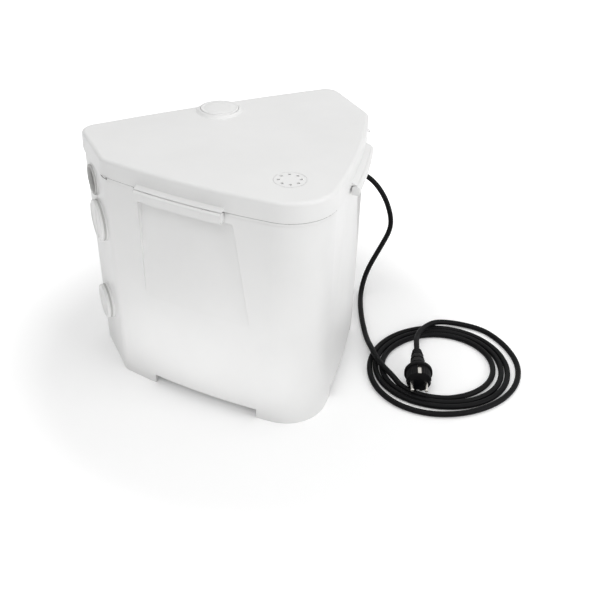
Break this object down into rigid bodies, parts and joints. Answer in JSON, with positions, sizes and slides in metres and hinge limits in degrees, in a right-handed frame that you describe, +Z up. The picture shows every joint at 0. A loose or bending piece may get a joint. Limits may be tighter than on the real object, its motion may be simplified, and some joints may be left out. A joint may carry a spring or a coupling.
{
  "type": "sewage lifting station",
  "caption": "Compact sewage lifting station: three-sided white tank with clipped lid, side pipe entries, vent filter, float-switched pump, flap valve, riser and coiled mains cord.",
  "frame": {"origin": "on the floor, under the middle of the bounding box of the station without its free cord", "axes": "+X runs along the long back wall towards the side the mains cord leaves, +Y points to the back wall, the rounded nose points to -Y, +Z up"},
  "size_m": [0.5358, 0.3884, 0.3306],
  "materials": {
    "case_plastic": "satin moulded, fine grain",
    "pipe_seal_rubber": "light grey, matt",
    "seal_rubber": "matt",
    "cord_rubber": "satin black sheath",
    "nickel_contact": "nickel plated",
    "gland_plastic": "satin",
    "pump_plastic": "moulded, glass filled",
    "flap_rubber": "matt",
    "stainless_steel": "brushed",
    "cast_plate": "painted casting",
    "bearing_steel": "ground",
    "core_steel": "laminated sheet",
    "copper_wire": "enamelled copper",
    "carbon_pad": "activated carbon fleece",
    "float_plastic": "gloss",
    "pipe_plastic": "extruded"
  },
  "bodies": {
    "station": {"tank": "case_plastic", "inlet_seal_upper_left": "pipe_seal_rubber", "inlet_seal_upper_right": "pipe_seal_rubber", "inlet_seal_middle_left": "pipe_seal_rubber", "inlet_seal_middle_right": "pipe_seal_rubber", "inlet_seal_lower_left": "pipe_seal_rubber", "inlet_seal_lower_right": "pipe_seal_rubber", "gland_body": "gland_plastic", "gland_nut": "gland_plastic", "pump_strainer": "pump_plastic", "pump_volute": "pump_plastic", "seal_plate": "cast_plate", "shaft_seal": "seal_rubber", "motor_housing": "stainless_steel", "stator_core": "core_steel", "stator_windings": "copper_wire", "lower_bearing": "bearing_steel", "upper_bearing": "bearing_steel", "motor_cap": "pump_plastic", "motor_screws": "stainless_steel", "pump_screws": "stainless_steel", "level_switch_box": "pump_plastic", "float_rod": "stainless_steel", "float_stop": "pump_plastic", "discharge_elbow": "pump_plastic", "check_valve_body": "pump_plastic", "check_valve_pin": "stainless_steel", "flange_screws": "stainless_steel", "riser_pipe": "pipe_plastic", "discharge_sleeve": "seal_rubber", "sleeve_clamps": "stainless_steel", "motor_lead": "cord_rubber", "cord_strain_relief": "cord_rubber", "cord_lead": "cord_rubber", "cord_coil": "cord_rubber", "cord_tail": "cord_rubber", "plug_body": "cord_rubber", "plug_pins": "nickel_contact", "plug_earth_clips": "nickel_contact"},
    "lid_group": {"lid": "case_plastic", "lid_gasket": "seal_rubber", "clip_pin_left": "stainless_steel", "clip_pin_right": "stainless_steel", "filter_holder": "pump_plastic", "carbon_filter": "carbon_pad"},
    "left_clip": {"lid_clip_left": "case_plastic"},
    "right_clip": {"lid_clip_right": "case_plastic"},
    "outlet_cap": {"discharge_cap": "case_plastic", "discharge_cap_seal": "seal_rubber"},
    "left_middle_cap": {"inlet_cap_middle_left": "case_plastic"},
    "right_middle_cap": {"inlet_cap_middle_right": "case_plastic"},
    "left_lower_cap": {"inlet_cap_lower_left": "case_plastic"},
    "right_lower_cap": {"inlet_cap_lower_right": "case_plastic"},
    "pump_rotor": {"impeller": "pump_plastic", "motor_shaft": "stainless_steel", "rotor": "core_steel"},
    "float": {"level_float": "float_plastic"},
    "flap": {"check_valve_flap": "flap_rubber"}
  },
  "joints": [
    {"name": "lid_lift", "type": "slide", "parent": "station", "child": "lid_group", "axis": [0, 0, 1], "range_m": [0, 0.16]},
    {"name": "right_clip_swing", "type": "hinge", "parent": "lid_group", "child": "right_clip", "pos_m": [0.12358, -0.05091, 0.2951], "axis": [-0.6077, -0.7941, 0], "range_deg": [0, 60]},
    {"name": "left_clip_swing", "type": "hinge", "parent": "lid_group", "child": "left_clip", "pos_m": [-0.12358, -0.05091, 0.2951], "axis": [-0.6077, 0.7941, 0], "range_deg": [0, 60]},
    {"name": "outlet_cap_lift", "type": "slide", "parent": "lid_group", "child": "outlet_cap", "axis": [0, 0, 1], "range_m": [0, 0.12]},
    {"name": "left_middle_cap_pull", "type": "slide", "parent": "station", "child": "left_middle_cap", "axis": [-1, 0, 0], "range_m": [0, 0.03]},
    {"name": "right_middle_cap_pull", "type": "slide", "parent": "station", "child": "right_middle_cap", "axis": [1, 0, 0], "range_m": [0, 0.03]},
    {"name": "left_lower_cap_pull", "type": "slide", "parent": "station", "child": "left_lower_cap", "axis": [-1, 0, 0], "range_m": [0, 0.03]},
    {"name": "right_lower_cap_pull", "type": "slide", "parent": "station", "child": "right_lower_cap", "axis": [1, 0, 0], "range_m": [0, 0.03]},
    {"name": "impeller_spin", "type": "hinge", "parent": "station", "child": "pump_rotor", "pos_m": [0, 0.008, 0.12], "axis": [0, 0, 1], "continuous": true},
    {"name": "float_rise", "type": "slide", "parent": "station", "child": "float", "axis": [0, 0, 1], "range_m": [0, 0.07]},
    {"name": "flap_swing", "type": "hinge", "parent": "station", "child": "flap", "pos_m": [0, 0.0985, 0.11], "axis": [1, 0, 0], "range_deg": [0, 45]}
  ]
}
